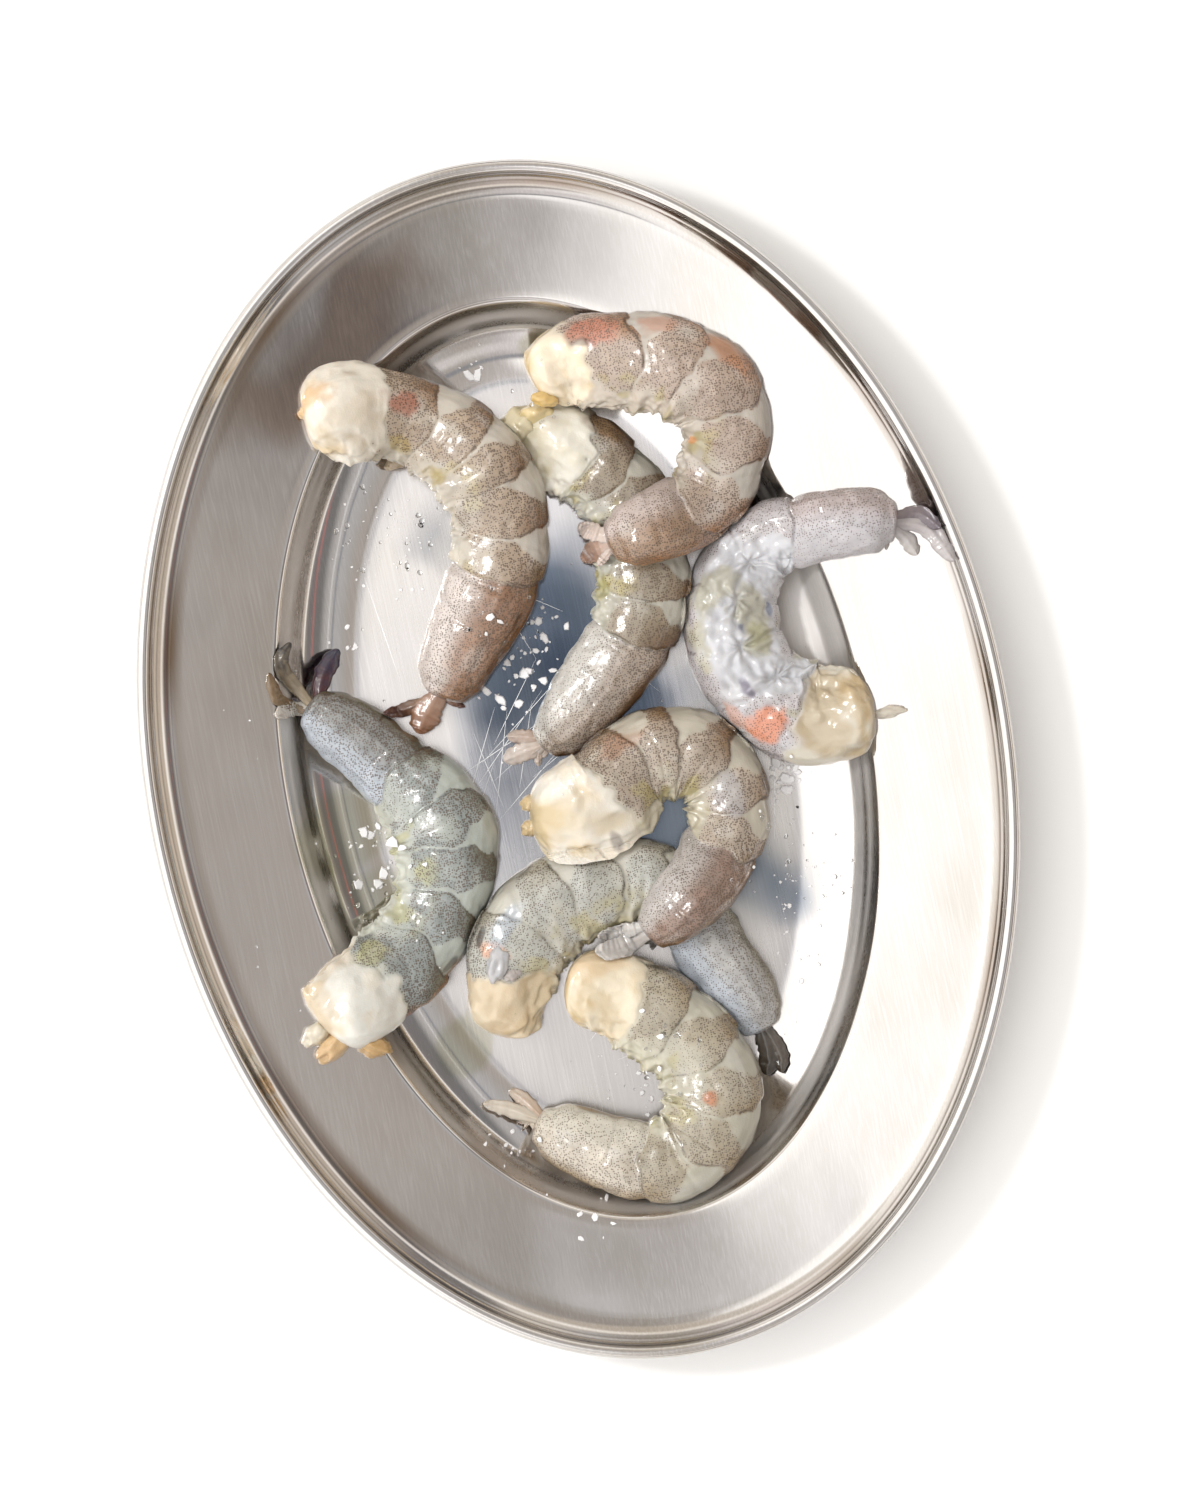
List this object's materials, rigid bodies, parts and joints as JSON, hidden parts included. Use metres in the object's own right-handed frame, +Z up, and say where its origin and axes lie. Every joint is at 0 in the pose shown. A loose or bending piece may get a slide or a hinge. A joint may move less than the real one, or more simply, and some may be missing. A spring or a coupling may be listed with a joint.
{
  "type": "platter of raw peeled shrimp",
  "caption": "Raw peeled shrimp with tail fans, curled and overlapping, on an oval rolled-rim stainless steel platter with salt flakes.",
  "frame": {"origin": "centre of the overall box's underside, where the platter stands", "axes": "+Y along the platter's long axis towards the picture's top, +X to the picture's right, +Z up"},
  "size_m": [0.2142, 0.2998, 0.0314],
  "materials": {
    "steel": "worn satin, with salt flakes",
    "shrimp_left_flesh": "wet raw flesh",
    "shrimp_lower_flesh": "wet raw flesh",
    "shrimp_right_flesh": "wet raw flesh",
    "shrimp_centre_flesh": "wet raw flesh",
    "shrimp_top_left_flesh": "wet raw flesh",
    "shrimp_bottom_flesh": "wet raw flesh",
    "shrimp_top_right_flesh": "wet raw flesh",
    "shrimp_middle_flesh": "wet raw flesh"
  },
  "bodies": {
    "root": {"platter": "steel", "shrimp_left": "shrimp_left_flesh", "shrimp_lower": "shrimp_lower_flesh", "shrimp_right": "shrimp_right_flesh", "shrimp_centre": "shrimp_centre_flesh", "shrimp_top_left": "shrimp_top_left_flesh", "shrimp_bottom": "shrimp_bottom_flesh", "shrimp_top_right": "shrimp_top_right_flesh", "shrimp_middle": "shrimp_middle_flesh"}
  },
  "joints": []
}
